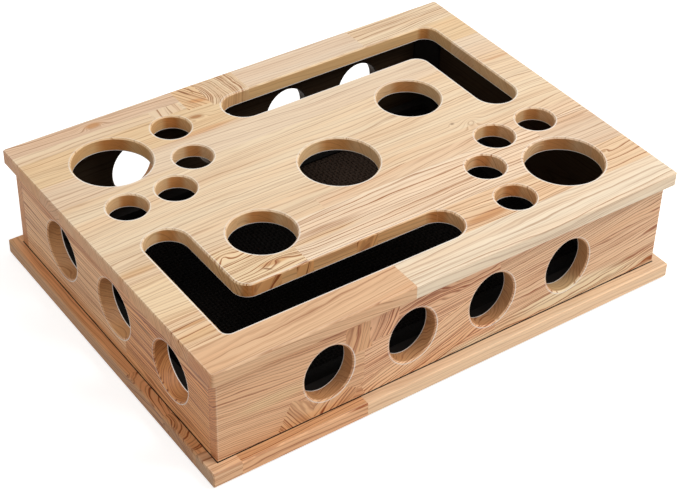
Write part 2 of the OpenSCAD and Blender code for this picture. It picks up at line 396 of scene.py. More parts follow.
@dataclass(frozen=True)
class GluedPine:
    """Edge-glued knotty pine, planed, sanded and oiled to a satin finish.

    The eye sees pale straw wood with fine honey-brown lines where each ring's late wood is cut,
    which follow a true log through the face, the edges and the walls of the openings. Staves
    differ in tint. The arrises are sanded paler, and brighter still as a painted highlight on the
    rims that face one way and along the openings' lower rims. The sawn walls of the openings are
    warmer, with painted shade on those that face one way. The inside, the back wall's tunnels and
    the seam under the walls are painted near-black as painted shade.
    """

    node: str
    face: Face
    staves: tuple[Stave, ...]
    knots: tuple[Knot, ...] = ()
    streaks: tuple[Streak, ...] = ()
    late_wood: str = "a8794c"
    blush: str = "f8e8da"
    waves: float = 1.0
    end_grain: str = "edd0b8"
    sawn: str = "fdebd0"
    # Painted shade: opening walls that face one way are darkened to this warmer tint.
    wall_shade_tint: str = "eac8a2"
    sawn_margin: float = 9.0
    sawn_lines: float = 0.5
    # The arris colour is sanded wood and painted highlight: the highlight is strongest on the rims that tilt
    # toward one way, and in a band along the openings' lower rims.
    arris_and_highlight: str = "fffaf2"
    arris_width: float = 2.0
    highlight_share: float = 1.0
    outer_share: float = 0.1
    highlight_way: Point = (0.58, 0.81, 0.0)
    inner_rim: float = 0.7
    inner_rim_from: float = 0.3
    # Painted shade: the way that the shaded opening walls face.
    wall_shade_way: Point = (0.5, 0.87, 0.0)
    # Painted shade: the near-black that the shaded zones are painted with, and how much of it covers the
    # wood.
    stain: str = "0e0a07"
    painted_shade_share: float = 0.95
    rise: tuple[float, float] = (0.66, 0.93)
    fall: tuple[float, float] = (0.94, 1.0)

    def material(self) -> bpy.types.Material:
        """Builds the finish of one board.

        Returns:
            The material.
        """
        made, tree, here = started(f"pine_{self.node}")
        place = self._place(tree, here)
        log, growth, tint = self._staves(tree, place)
        lines = self._rings(tree, place, log, growth)
        within = self._within_margin(tree, place)
        steep = self._facing(tree, self.face.value[2], 0.8, 0.3)
        walls = calc(tree, "MULTIPLY", within, steep)
        calm = ramp(tree, walls, low=1.0, high=self.sawn_lines)
        lines = calc(tree, "MULTIPLY", lines, calm)
        fibres = self._fibres(tree, log, 26.0, 0.9)
        colour = self._wood(tree, place, log, tint, lines, fibres)
        colour = self._cut_faces(tree, within, walls, colour)
        colour = self._sanded_arrises_and_highlights(tree, place, within, colour)
        # Painted shade in the zones above, which also lose most of their gloss.
        shaded = self._painted_shade_mask(tree, here)
        dark = mix(tree, self.painted_shade_share, colour, self.stain)
        colour = mix(tree, shaded, colour, dark)
        sheen = ramp(tree, shaded, low=0.5, high=0.08)
        pores = self._fibres(tree, place, 18.0, 0.6)
        roughness = ramp(tree, pores, 0.3, 0.7, 0.5, 0.62)
        rest = {"IOR": 1.46, "Specular IOR Level": sheen}
        return finished(made, colour, roughness, pores, 0.2, 0.1, rest)

    def _place(self, tree: Tree, here: Socket) -> Socket:
        """Gives the point's place on the board, in mm from its centre: along, across and out."""
        turned = Matrix(self.face.value)
        low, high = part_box(self.node)
        sockets = {
            "Vector": here,
            "Location": -(turned @ (low + high) / 2 / MM),
            "Rotation": turned.to_euler(),
            "Scale": (1 / MM, 1 / MM, 1 / MM),
        }
        return add_node(tree, "Mapping", sockets)

    def _inside(self, tree: Tree, where: Socket, middle: Point, half: Point, turn: float = 0.0) -> Socket:
        """Tells whether a point is in a block.

        Args:
            tree: the node tree.
            where: the point.
            middle: the block's centre.
            half: half the block's sides.
            turn: the block's angle about its third axis, in degrees.

        Returns:
            1 inside and 0 outside.
        """
        angle = (0.0, 0.0, math.radians(turn))
        sockets = {"Vector": where, "Location": middle, "Rotation": angle, "Scale": half}
        share = add_node(tree, "Mapping", sockets, vector_type="TEXTURE")
        size = add_node(tree, "VectorMath", {0: share}, operation="ABSOLUTE")
        whole = add_node(tree, "VectorMath", {0: size}, operation="FLOOR")
        steps = add_node(tree, "VectorMath", {0: whole}, out="Value", operation="LENGTH")
        return calc(tree, "LESS_THAN", steps, 0.5)

    def _nearness(self, tree: Tree, place: Socket, mark: Knot | Streak, share: float = 1.0) -> Socket:
        """Gives how near a point is to a mark's middle, from 0 at its rim to 1."""
        sockets = {
            "Vector": place,
            "Location": (mark.along, mark.across, 0.0),
            "Rotation": (0.0, 0.0, math.radians(mark.turn)),
            "Scale": (mark.long * share, mark.wide * share, MARK_DEPTH * share),
        }
        mapped = add_node(tree, "Mapping", sockets, vector_type="TEXTURE")
        return add_node(tree, "TexGradient", {"Vector": mapped}, out=1, gradient_type="QUADRATIC_SPHERE")

    def _staves(self, tree: Tree, place: Socket) -> tuple[Socket, Socket, Socket]:
        """Picks each point's place in its own stave's log, and that stave's growth and tint.

        Args:
            tree: the node tree.
            place: the point on the board.

        Returns:
            The place in the log, with the pith at nought across and through, the years in a
            millimetre with the lines' strength, and the tint.
        """
        log: Socket | None = None
        growth: Socket | tuple | None = None
        tint: Socket | tuple | None = None
        for stave in self.staves:
            middle = Vector(((stave.start + stave.end) / 2, (stave.low + stave.high) / 2, 0.0))
            turned = Euler((0.0, math.radians(stave.sink), math.radians(stave.turn)))
            pith = Vector((-SEED_STEP * stave.seed, *stave.pith))
            corner = middle + turned.to_matrix() @ pith
            sockets = {"Vector": place, "Rotation": turned, "Location": corner}
            own = add_node(tree, "Mapping", sockets, vector_type="TEXTURE")
            vigour = (1 / stave.ring, stave.lines, 0.0)
            if log is None:
                log, growth, tint = own, vigour, linear(stave.tint)
                continue
            half = ((stave.end - stave.start) / 2, (stave.high - stave.low) / 2, DEEP)
            mask = self._inside(tree, place, tuple(middle), half, stave.lean)
            log = add_node(tree, "Mix", {0: mask, 4: log, 5: own}, out=1, data_type="VECTOR")
            growth = add_node(tree, "Mix", {0: mask, 4: growth, 5: vigour}, out=1, data_type="VECTOR")
            tint = mix(tree, mask, tint, stave.tint)
        return log, growth, tint

    def _fibres(self, tree: Tree, log: Socket, long: float, wide: float, detail: float = 2.0) -> Socket:
        """Gives a pattern of fibres of that length and width in mm, from 0 to 1."""
        return marks(tree, log, (long, wide, wide), detail, unit=1.0)

    def _rings(self, tree: Tree, place: Socket, log: Socket, growth: Socket) -> Socket:
        """Draws the growth rings, bent by the log's sway and by the knots.

        Args:
            tree: the node tree.
            place: the point on the board.
            log: the point in its log.
            growth: the years in a millimetre, and the lines' strength.

        Returns:
            The late wood's share, from 0 to 1.
        """
        flat = add_node(tree, "VectorMath", {0: log, 1: (0.0, 1.0, 1.0)}, operation="MULTIPLY")
        radius = add_node(tree, "VectorMath", {0: flat}, out="Value", operation="LENGTH")
        sways = ((240.0, 45.0, 16.0), (60.0, 12.0, 3.4 * self.waves), (17.0, 5.0, 0.9 * self.waves))
        for long, wide, reach in sways:
            sway = self._fibres(tree, log, long, wide, detail=1.0)
            radius = calc(tree, "MULTIPLY_ADD", sway, reach, radius)
        for knot in self.knots:
            near = self._nearness(tree, place, knot)
            radius = calc(tree, "MULTIPLY_ADD", near, knot.lift, radius)
        pace = add_node(tree, "SeparateXYZ", {0: growth}, out=0).node
        year = calc(tree, "MULTIPLY", radius, pace.outputs[0])
        age = calc(tree, "FRACT", year)
        late = ramp(tree, age, *self.rise, smooth=True)
        ends = ramp(tree, age, *self.fall, 1.0, 0.0, smooth=True)
        line = calc(tree, "MULTIPLY", late, ends)
        yearly = {"W": year, "Scale": 0.7, "Detail": 1.0}
        weather = add_node(tree, "TexNoise", yearly, noise_dimensions="1D")
        good = ramp(tree, weather, 0.36, 0.62, 0.3, 1.0)
        line = calc(tree, "MULTIPLY", line, good)
        along = add_node(tree, "SeparateXYZ", {0: log}, out=0)
        bent = add_node(tree, "CombineXYZ", {0: along, 1: radius})
        combed = self._fibres(tree, bent, 110.0, 0.9)
        faint = ramp(tree, combed, 0.5, 0.7, 0.0, 0.65)
        line = calc(tree, "MAXIMUM", line, faint)
        worn = self._fibres(tree, log, 80.0, 5.0, detail=1.0)
        kept = ramp(tree, worn, 0.34, 0.6, 0.6, 1.0)
        line = calc(tree, "MULTIPLY", line, kept)
        return calc(tree, "MULTIPLY", line, pace.outputs[1])

    def _wood(
        self, tree: Tree, place: Socket, log: Socket, tint: Socket, lines: Socket, fibres: Socket
    ) -> Socket:
        """Lays the tint, the streaks, the rings, the knots and the fibres over each other.

        Args:
            tree: the node tree.
            place: the point on the board.
            log: the point in its log.
            tint: the stave's tint.
            lines: the late wood's share.
            fibres: the fibre pattern.

        Returns:
            The natural wood's colour.
        """
        colour = tint
        for streak in self.streaks:
            near = self._nearness(tree, place, streak)
            share = ramp(tree, near, 0.0, 0.45, 0.0, streak.strength, smooth=True)
            colour = mix(tree, share, colour, streak.tint)
        warm = self._fibres(tree, log, 230.0, 16.0)
        warm = ramp(tree, warm, 0.42, 0.68, 0.0, 0.6)
        for share, shade in ((warm, self.blush), (lines, self.late_wood)):
            colour = mix(tree, share, colour, shade, blend="MULTIPLY")
        for knot in (k for k in self.knots if k.heart):
            near = self._nearness(tree, place, knot, knot.heart)
            share = ramp(tree, near, 0.0, 0.35, 0.0, knot.strength)
            colour = mix(tree, share, colour, knot.tint)
        clouds = self._fibres(tree, log, 130.0, 7.0)
        ducts = self._fibres(tree, log, 7.0, 0.5, detail=1.0)
        layers = ((clouds, 0.3, 0.96, 1.03), (fibres, 0.3, 0.96, 1.03), (ducts, 0.62, 1.0, 0.9))
        for pattern, start, low, high in layers:
            tone = ramp(tree, pattern, start, start + 0.4, low, high)
            colour = add_node(tree, "VectorMath", {0: colour, "Scale": tone}, operation="SCALE")
        return colour

    def _facing(self, tree: Tree, way: Point, low: float, high: float) -> Socket:
        """Tells how much a point's surface faces along an axis.

        Args:
            tree: the node tree.
            way: the axis.
            low: the cosine that gives 0.
            high: the cosine that gives 1.

        Returns:
            The share, from 0 to 1.
        """
        out = add_node(tree, "TexCoord", {}, out="Normal")
        cosine = dot(tree, out, way)
        cosine = calc(tree, "ABSOLUTE", cosine)
        return ramp(tree, cosine, low, high)

    def _within_margin(self, tree: Tree, place: Socket, level: float = 0.0, depth: float = DEEP) -> Socket:
        """Tells whether a point is inside the board's margin, where the only edges are openings.

        Args:
            tree: the node tree.
            place: the point on the board.
            level: the middle of the layer that counts, out from the board's middle.
            depth: half that layer's thickness.

        Returns:
            1 inside and 0 outside.
        """
        half = self._half_size()
        inner = (half.x - self.sawn_margin, half.y - self.sawn_margin, depth)
        return self._inside(tree, place, (0.0, 0.0, level), inner)

    def _half_size(self) -> Vector:
        """Gives half the board's length, width and thickness, in mm."""
        low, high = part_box(self.node)
        size = (high - low) / MM
        return Vector([abs(size.dot(Vector(way))) / 2 for way in self.face.value])

    def _cut_faces(self, tree: Tree, within: Socket, walls: Socket, colour: Socket) -> Socket:
        """Tints the end grain and the walls of the openings, and paints shade on the opening walls that face
        one way.

        Args:
            tree: the node tree.
            within: 1 inside the board's margin.
            walls: 1 on the openings' walls.
            colour: the wood's colour.

        Returns:
            The tinted colour.
        """
        # Painted shade on the opening walls that face this way.
        wall_shade = self._facing(tree, self.wall_shade_way, 0.88, 0.98)
        wall_shade = calc(tree, "MULTIPLY", walls, wall_shade)
        ends = self._facing(tree, self.face.value[0], 0.4, 1.0)
        unbored = calc(tree, "SUBTRACT", 1.0, within)
        ends = calc(tree, "MULTIPLY", ends, unbored)
        for share, shade in ((walls, self.sawn), (wall_shade, self.wall_shade_tint), (ends, self.end_grain)):
            colour = mix(tree, share, colour, shade, blend="MULTIPLY")
        return colour

    def _sanded_arrises_and_highlights(self, tree: Tree, place: Socket, within: Socket, colour: Socket) -> Socket:
        """Pales the wood close to the openings' rims, and a little at the outer arrises: sanded paler, with a
        painted highlight that is strongest on the rims that face one way and along the openings' lower rims.

        Args:
            tree: the node tree.
            place: the point on the board.
            within: 1 inside the board's margin.
            colour: the wood's colour.

        Returns:
            The colour, with the bare wood that sanding laid open.
        """
        eased = add_node(tree, "Bevel", {"Radius": self.arris_width * MM}, samples=8)
        true = add_node(tree, "NewGeometry", {}, out="Normal")
        flat = dot(tree, eased, true)
        near = ramp(tree, flat, 0.9992, 0.988)
        out = self.face.value[2]
        face = self._facing(tree, out, 0.8, 0.95)
        near = calc(tree, "MULTIPLY", near, face)
        # Painted highlight: the rims whose eased edge tilts toward this one way are painted brightest.
        tilt = dot(tree, eased, self.highlight_way)
        rubbed = ramp(tree, tilt, -0.1, 0.2, 0.4, self.highlight_share)
        most = ramp(tree, within, low=self.outer_share, high=rubbed)
        upper = calc(tree, "MULTIPLY", near, most)
        # Painted highlight: a thin pale band along the lower rim of each opening.
        thick = self.inner_rim / 2
        rim = self._within_margin(tree, place, thick + self.inner_rim_from - self._half_size().z, thick)
        wall = self._facing(tree, out, 0.8, 0.3)
        lower = calc(tree, "MULTIPLY", rim, wall)
        share = calc(tree, "MAXIMUM", upper, lower)
        return mix(tree, share, colour, self.arris_and_highlight)

    def _painted_shade_mask(self, tree: Tree, here: Socket) -> Socket:
        """Tells whether a point lies in a zone of painted shade."""
        whole: Socket | float = 0.0
        for zone in (INSIDE, BACK_TUNNELS, SEAM_SHADOW):
            share = self._inside(tree, here, *zone.middle_and_half())
            whole = calc(tree, "MAXIMUM", whole, share)
        return whole


@dataclass(frozen=True)
class StainedPine:
    """Rough-planed pine battens with a brushed black-brown stain: matt, with the grain just showing."""

    name: str
    grain: Point
    wood: str = "150f0a"
    line: str = "0b0705"

    def material(self) -> bpy.types.Material:
        """Builds the finish.

        Returns:
            The material.
        """
        made, tree, here = started(self.name)
        fibre = marks(tree, here, tuple(18.0 if along else 0.9 for along in self.grain), 3.0)
        share = ramp(tree, fibre, 0.35, 0.65)
        colour = mix(tree, share, self.line, self.wood)
        rough = ramp(tree, fibre, 0.3, 0.7, 0.6, 0.78)
        return finished(made, colour, rough, fibre, 0.4, 0.15, {"Specular IOR Level": 0.2})


@dataclass(frozen=True)
class TurnedBeech:
    """Machined beech dowel rod, left bare: even pinkish tan, flecked with short brown rays."""

    name: str = "beech_dowel"
    wood: str = "dcb78f"
    fleck: str = "b08258"

    def material(self) -> bpy.types.Material:
        """Builds the finish.

        Returns:
            The material.
        """
        made, tree, here = started(self.name)
        rays = marks(tree, here, (0.4, 0.4, 2.5), 2.0)
        share = ramp(tree, rays, 0.56, 0.7, 0.0, 0.8)
        colour = mix(tree, share, self.wood, self.fleck)
        return finished(made, colour, 0.65, rays, 0.2, 0.05, {"IOR": 1.46})


@dataclass(frozen=True)
class ZincPlate:
    """Barrel-plated zinc on steel screws: a cool satin grey, clouded and finely pitted."""

    name: str = "zinc_plated_steel"
    bright: str = "c4c6c8"
    dull: str = "8d9093"

    def material(self) -> bpy.types.Material:
        """Builds the finish.

        Returns:
            The material.
        """
        made, tree, here = started(self.name)
        cloud = add_node(tree, "TexNoise", {"Vector": here, "Scale": 1 / MM / 1.6, "Detail": 3.0})
        share = ramp(tree, cloud, 0.35, 0.65)
        colour = mix(tree, share, self.dull, self.bright)
        rough = ramp(tree, cloud, 0.3, 0.7, 0.46, 0.3)
        pits = add_node(tree, "TexNoise", {"Vector": here, "Scale": 1 / MM / 0.25, "Detail": 2.0})
        return finished(made, colour, rough, pits, 0.2, 0.02, {"Metallic": 1.0})


@dataclass(frozen=True)
class MouldedRubber:
    """Moulded black rubber feet: dull charcoal with the mould's fine spark-eroded grain and dust."""

    name: str = "moulded_rubber"
    body: str = "262627"
    dust: str = "3a3937"

    def material(self) -> bpy.types.Material:
        """Builds the finish.

        Returns:
            The material.
        """
        made, tree, here = started(self.name)
        grain = add_node(tree, "TexVoronoi", {"Vector": here, "Scale": 1 / MM / 0.5})
        worn = add_node(tree, "TexNoise", {"Vector": here, "Scale": 1 / MM / 3.0, "Detail": 4.0})
        share = ramp(tree, worn, 0.45, 0.7, 0.0, 0.8)
        colour = mix(tree, share, self.body, self.dust)
        rough = ramp(tree, worn, 0.3, 0.7, 0.68, 0.85)
        return finished(made, colour, rough, grain, 0.35, 0.05, {"IOR": 1.52})


@dataclass(frozen=True)
class DyedSisal:
    """Two-ply sisal yarn, dyed black-brown: stiff glassy fibres that slant across each yarn.

    The slant repeats over the weave's pitch, so it stays the same on every yarn. Dye takes
    unevenly, so some fibres stay lighter, and the crowns of the weave are worn browner. Two
    patches, where light falls in through the openings, are painted lighter brown as painted light.
    """

    name: str
    run: Yarn
    pitch: float
    crown_low: float
    crown_high: float
    deep: str = "090706"
    dyed: str = "0f0c0a"
    worn: str = "1d1611"
    # Painted light: patches of the floor that light reaches through the openings, in a lighter brown.
    lit_patch: str = "4f4036"
    lit_spots: tuple[Zone, ...] = (
        Zone((10, 28, 0), (112, 122, 40)),
        Zone((-118, 100, 0), (-54, 130, 40)),
    )
    ply: float = 1.5

    def material(self) -> bpy.types.Material:
        """Builds the finish.

        Returns:
            The material.
        """
        made, tree, here = started(self.name)
        along, across = self.run.value, 1 - self.run.value
        slant = [0.0, 0.0, 0.0]
        slant[along], slant[across] = 1 / MM / self.ply, 1 / MM / self.pitch * 3
        turns = dot(tree, here, tuple(slant))
        round_ply = calc(tree, "PINGPONG", turns, 0.5)
        plies = ramp(tree, round_ply, 0.0, 0.5)
        sizes = [0.35, 0.35, 0.35]
        sizes[along] = 4.0
        hairs = marks(tree, here, tuple(sizes), 3.0)
        share = ramp(tree, hairs, 0.38, 0.62)
        colour = mix(tree, share, self.deep, self.dyed)
        height = add_node(tree, "SeparateXYZ", {0: here}, out=2)
        crown = ramp(tree, height, self.crown_low * MM, self.crown_high * MM, 0.0, 0.6)
        patchy = add_node(tree, "TexNoise", {"Vector": here, "Scale": 1 / MM / 40.0, "Detail": 1.0})
        patchy = ramp(tree, patchy, 0.4, 0.65, 0.2, 1.0)
        rubbed = calc(tree, "MULTIPLY", crown, patchy)
        colour = mix(tree, rubbed, colour, self.worn)
        # Painted light in each patch.
        for spot in self.lit_spots:
            middle, half = spot.middle_and_half()
            sockets = {"Vector": here, "Location": middle, "Scale": half}
            near = add_node(tree, "Mapping", sockets, vector_type="TEXTURE")
            near = add_node(tree, "TexGradient", {"Vector": near}, out=1, gradient_type="SPHERICAL")
            share = ramp(tree, near, 0.0, 0.5, 0.0, 0.85, smooth=True)
            colour = mix(tree, share, colour, self.lit_patch)
        rough = ramp(tree, hairs, 0.3, 0.7, 0.85, 0.6)
        relief = calc(tree, "ADD", plies, hairs)
        return finished(made, colour, rough, relief, 0.8, 0.35, {"Specular IOR Level": 0.08})


@dataclass(frozen=True)
class TwillTape:
    """Black cotton twill binding tape: a dull soft black with fine slanting ribs, 0.9 mm apart."""

    name: str = "black_cotton_twill"
    rib: float = 0.9
    ground: str = "080706"
    ridge: str = "120f0d"

    def material(self) -> bpy.types.Material:
        """Builds the finish.

        Returns:
            The material.
        """
        made, tree, here = started(self.name)
        way = (1 / MM / self.rib,) * 3
        turns = dot(tree, here, way)
        ribs = calc(tree, "PINGPONG", turns, 0.5)
        lint = add_node(tree, "TexNoise", {"Vector": here, "Scale": 1 / MM / 0.6, "Detail": 3.0})
        height = calc(tree, "MULTIPLY_ADD", lint, 0.6, ribs)
        share = ramp(tree, height, 0.2, 0.9)
        colour = mix(tree, share, self.ground, self.ridge)
        rough = ramp(tree, lint, 0.3, 0.7, 0.8, 0.95)
        return finished(made, colour, rough, height, 0.5, 0.15, {"Specular IOR Level": 0.15})


@dataclass(frozen=True)
class LatexBacking:
    """Rolled-on black latex under the weave: dull, with the roller's shallow orange-peel skin."""

    name: str = "black_latex_backing"
    skin: str = "080706"
    high_spot: str = "100e0c"

    def material(self) -> bpy.types.Material:
        """Builds the finish.

        Returns:
            The material.
        """
        made, tree, here = started(self.name)
        peel = add_node(tree, "TexVoronoi", {"Vector": here, "Scale": 1 / MM / 1.4}, feature="SMOOTH_F1")
        share = ramp(tree, peel, 0.1, 0.7, 1.0, 0.0)
        colour = mix(tree, share, self.skin, self.high_spot)
        rough = ramp(tree, peel, 0.1, 0.7, 0.55, 0.75)
        return finished(made, colour, rough, share, 0.4, 0.1)


@dataclass(frozen=True)
class SoftBox:
    """A square soft light that points at the box, placed by its angles as seen from the box."""

    name: str
    azimuth: float
    elevation: float
    distance: float
    side: float
    power: float
    tint: str = "ffffff"

    def place(self, aim: Vector) -> None:
        """Adds the lamp.

        Args:
            aim: the point that it shines at.
        """
        data = bpy.data.lights.new(self.name, "AREA")
        data.shape = "SQUARE"
        data.size = self.side
        data.energy = self.power
        data.color = linear(self.tint)[:3]
        lamp = put(self.name, data)
        away = direction(self.azimuth, self.elevation)
        lamp.location = aim + away * self.distance
        lamp.rotation_mode = "QUATERNION"
        lamp.rotation_quaternion = away.to_track_quat("Z", "Y")


@dataclass
class Studio:
    """The photographer's table: a white sweep, soft lights and the camera.

    The camera's angles are in degrees and its distances in mm from the middle of the top face.
    Its focal length is in pixels of the photograph.
    """

    azimuth: float = -35.48
    elevation: float = 38.14
    roll: float = 1.34
    focal: float = 1725.3
    aim: Point = (0.24, -62.0, 1267.84)
    floor_side: float = 12.0
    paper: str = "dcdbd9"
    ambient: float = 0.46
    paper_glow: float = 0.72
    lamps: tuple[SoftBox, ...] = (SoftBox("key_softbox", 54.0, 54.0, 2.4, 1.4, 39.5),)

    def build(self) -> None:
        """Sets up the view, the lights, the world and the floor."""
        scene = bpy.context.scene
        scene.view_settings.view_transform = "Standard"
        low, high = CAD_BOX
        top = Vector(((low.x + high.x) / 2, (low.y + high.y) / 2, high.z))
        self._camera(top)
        for lamp in self.lamps:
            lamp.place((low + high) / 2)
        self._world()
        self._floor()

    def _camera(self, top: Vector) -> None:
        """Adds the camera.

        Args:
            top: the middle of the top face.
        """
        azimuth, roll = math.radians(self.azimuth), math.radians(self.roll)
        back = direction(self.azimuth, self.elevation)
        level = Vector((math.cos(azimuth), math.sin(azimuth), 0.0))
        upright = back.cross(level)
        right = math.cos(roll) * level + math.sin(roll) * upright
        up = math.cos(roll) * upright - math.sin(roll) * level
        data = bpy.data.cameras.new("camera")
        data.sensor_width = SENSOR_WIDTH
        data.lens = self.focal * SENSOR_WIDTH / PHOTO_WIDTH
        camera = put("camera", data)
        axes = Matrix((right, up, back)).transposed()
        camera.location = top + axes @ Vector(self.aim) * MM
        camera.rotation_mode = "QUATERNION"
        camera.rotation_quaternion = axes.to_quaternion()
        bpy.context.scene.camera = camera

    def _seen_share(self, tree: Tree) -> Socket:
        """Gives 1 for what the camera sees, straight, in a gloss or through glass, and 0 otherwise."""
        path = add_node(tree, "LightPath", {}, out="Is Camera Ray").node
        seen = calc(tree, "MAXIMUM", path.outputs["Is Camera Ray"], path.outputs["Is Glossy Ray"])
        return calc(tree, "MAXIMUM", seen, path.outputs["Is Transmission Ray"])

    def _world(self) -> None:
        """Fills the world with even light, and shows it white."""
        world = bpy.data.worlds.new("white_room")
        bpy.context.scene.world = world
        world.use_nodes = True
        tree = world.node_tree
        tree.nodes.clear()
        strength = ramp(tree, self._seen_share(tree), low=self.ambient)
        light = add_node(tree, "Background", {"Color": linear("ffffff"), "Strength": strength})
        add_node(tree, "OutputWorld", {"Surface": light})

    def _floor(self) -> None:
        """Lays the white sweep, which keeps a soft shadow of the box."""
        mesh = bpy.data.meshes.new("floor")
        form = bmesh.new()
        bmesh.ops.create_grid(form, x_segments=1, y_segments=1, size=self.floor_side / 2)
        form.to_mesh(mesh)
        form.free()
        floor = put("floor", mesh)
        material = empty_material("white_paper_sweep")
        tree = material.node_tree
        paper = add_node(tree, "BsdfDiffuse", {"Color": linear(self.paper)})
        seen = self._seen_share(tree)
        glow = calc(tree, "MULTIPLY", seen, self.paper_glow)
        lift = add_node(tree, "Emission", {"Color": linear("ffffff"), "Strength": glow})
        both = add_node(tree, "AddShader", {0: paper, 1: lift})
        add_node(tree, "OutputMaterial", {"Surface": both})
        dress(floor, material)


@dataclass
class Cover:
    """The part that lifts off: the top panel, four walls, glue blocks and dowels."""

    def dress(self) -> None:
        """Gives every board of the cover its own wood."""
        boards = (self._top_panel, self._front_wall, self._back_wall, self._left_wall, self._right_wall)
        for board in (describe() for describe in boards):
            dress(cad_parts[board.node], board.material())
        blocks = StainedPine("stained_pine_block", (0, 0, 1)).material()
        for corner in CORNERS:
            dress(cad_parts[f"block_{corner}"], blocks)
        dress(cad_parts["panel_dowels"], TurnedBeech().material())

    def _top_panel(self) -> GluedPine:
        """Describes the top panel's staves, knots and streaks."""
        staves = (
            Stave(-210, 210, -150, 150, "f5dcb9", (90, -60), turn=0.6, lines=0.7, seed=1),
            Stave(-210, 210, 58, 88, "f1d8b9", (-80, -60), turn=-0.8, lines=0.6, seed=2),
            Stave(-210, 210, 88, 121, "f2d5aa", (70, -70), turn=0.5, lines=0.65, seed=3),
            Stave(-210, -61, 121, 132, "f2d6b2", (50, -60), turn=-0.4, lines=0.9, seed=4),
            Stave(-86, -61, 121, 132, "eed2af", (10, -20), turn=84, ring=2.6, lines=1.4, seed=5),
            Stave(-210, -52, 132, 152, "edcfb0", (40, -60), turn=0.4, lines=1.0, seed=6),
            Stave(-58, -38, 118, 152, "f2cea0", (30, -20), turn=-62, ring=3.2, lines=1.6, seed=7.5),
            Stave(-38, -3, 114, 152, "f0d3ad", (37.4, 0), turn=90, sink=70, ring=2.7, lines=1.8, seed=7),
            Stave(-3, 210, 121, 152, "efd7bb", (60, -60), turn=-0.6, lines=0.6, seed=8),
            Stave(108, 210, 121, 152, "f2d9b6", (50, -50), turn=0.8, lines=1.3, seed=9),
            Stave(-210, 210, -42, -16, "f2d6b2", (60, -60), turn=1.0, seed=10),
            Stave(-41, 210, -42, -28, "f2d2ae", (50, -60), turn=3.5, lines=0.9, seed=11),
            Stave(-210, 210, -88, -42, "fae1c2", (95, -60), turn=0.4, ring=2.7, lines=1.3, seed=12),
            Stave(-210, -139, -88, -42, "f7dab1", (93.8, -60), turn=0.4, ring=2.7, lines=0.7, seed=11.826),
            Stave(-139, -84, -84, -42, "f7dab0", (93, -60), turn=0.4, ring=2.7, lines=2.2, seed=11.889),
            Stave(-131, 24, -88, -84.9, "f2cda0", (93.4, -60), turn=0.4, ring=2.7, lines=1.6, seed=11.95),
            Stave(-131, -106, -88, -84.9, "eabc8a", (-30, 0), sink=-50, ring=2.0, lines=4.0, seed=17),
            Stave(-94, -80, -88, -84.9, "ecc08d", (-30, 0), sink=-72, ring=1.6, lines=2.8, seed=18),
            Stave(-44, -26, -88, -84.9, "ecc08d", (-30, 0), sink=-66, ring=1.5, lines=2.8, seed=19),
            Stave(145, 210, -119.7, -51, "eaceaf", (80, -60), turn=-0.6, lines=0.7, seed=13),
            Stave(-210, 210, -119.7, -88, "f3d1a9", (80, -60), turn=0.6, ring=3.2, lines=1.2, seed=14),
            Stave(-210, -38.5, -152, -119.7, "e9be94", (50, -60), turn=5.5, ring=2.3, lines=0.75, seed=15),
            Stave(-38.5, 210, -152, -119.7, "f6e2c5", (-60, -60), turn=1.0, ring=3.6, lines=0.85, seed=16),
        )
        knots = (
            Knot(-129, 139.5, 18, 9, 9, heart=0.6, tint="c98f5a", strength=0.85),
            Knot(-58, 107.5, 18, 7, 8, turn=-8, heart=0.55, tint="b07a48", strength=0.9),
            Knot(-131, -51, 15, 9, 4.4, turn=24),
            Knot(-100, -72, 32, 10, 8, turn=-4),
            Knot(99.4, -6.8, 6, 4, 3, heart=0.5, tint="6b4426"),
            Knot(113, -12, 16, 10, 8, turn=20),
            Knot(-93, 2, 9, 4, 2),
            Knot(172, -97, 10, 5, 4, heart=0.5),
        )
        streaks = (
            Streak(-186, -30, 46, 7, "e3bd8e", 0.5),
            Streak(-186, -109, 60, 8, "e2b884", 0.6),
            Streak(50, -112, 40, 7, "d39c66", 0.8),
            Streak(178, -48, 50, 4, "e2b78c", 0.6),
            Streak(188, 50, 30, 3, "dfb184", 0.6),
            Streak(-62, 89, 46, 5, "e3b180", 0.7),
            Streak(-49, 141, 10, 1.8, "b07c48", 0.9, -66),
            Streak(-43, 141, 9, 1.0, "b5844f", 0.8, 90),
            Streak(-46, 126, 13, 5, "e0a870", 0.85, -15),
            Streak(-104, -73, 22, 5, "dca66e", 0.8, -4),
            Streak(-112, -77, 6, 1.6, "97673a", 0.9, -38),
            Streak(-188, -32, 34, 6, "dfae78", 0.5),
            Streak(-186, -98, 30, 3, "d39c66", 0.8),
            Streak(-60, -66, 60, 5, "e6bd8c", 0.7),
        )
        return GluedPine("top_panel", Face.TOP, staves, knots, streaks)

